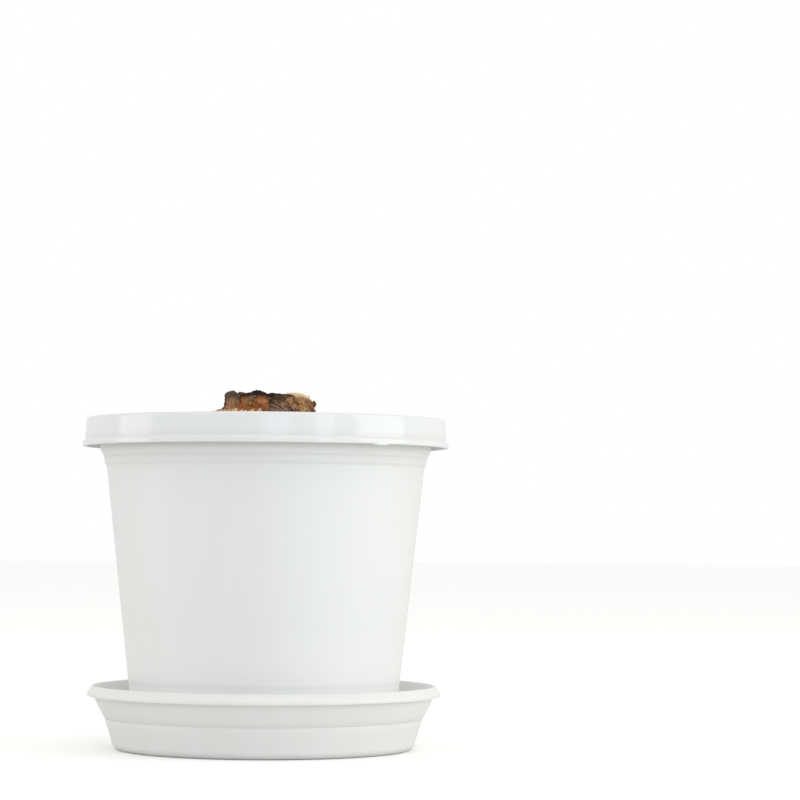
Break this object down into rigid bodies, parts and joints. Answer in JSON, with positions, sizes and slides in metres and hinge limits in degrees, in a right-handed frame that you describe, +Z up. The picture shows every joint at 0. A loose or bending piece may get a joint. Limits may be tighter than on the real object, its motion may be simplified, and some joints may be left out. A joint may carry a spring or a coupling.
{
  "type": "potted amaryllis bulb",
  "caption": "Dormant amaryllis bulb planted in a white plastic pot with a turned-down collar, standing on its matching saucer.",
  "frame": {"origin": "on the table under the saucer's middle, on the axis that the pot and the saucer share", "axes": "+Z up along the pot's axis, -Y towards the side that the picture shows, +X to that side's right"},
  "size_m": [0.15, 0.15, 0.1474],
  "materials": {
    "pot_plastic": "satin",
    "saucer_plastic": "satin",
    "planting_medium": "matte",
    "bulb_skin": "matte"
  },
  "bodies": {
    "root": {"pot": "pot_plastic", "saucer": "saucer_plastic", "growing_medium": "planting_medium", "bulb": "bulb_skin"}
  },
  "joints": []
}
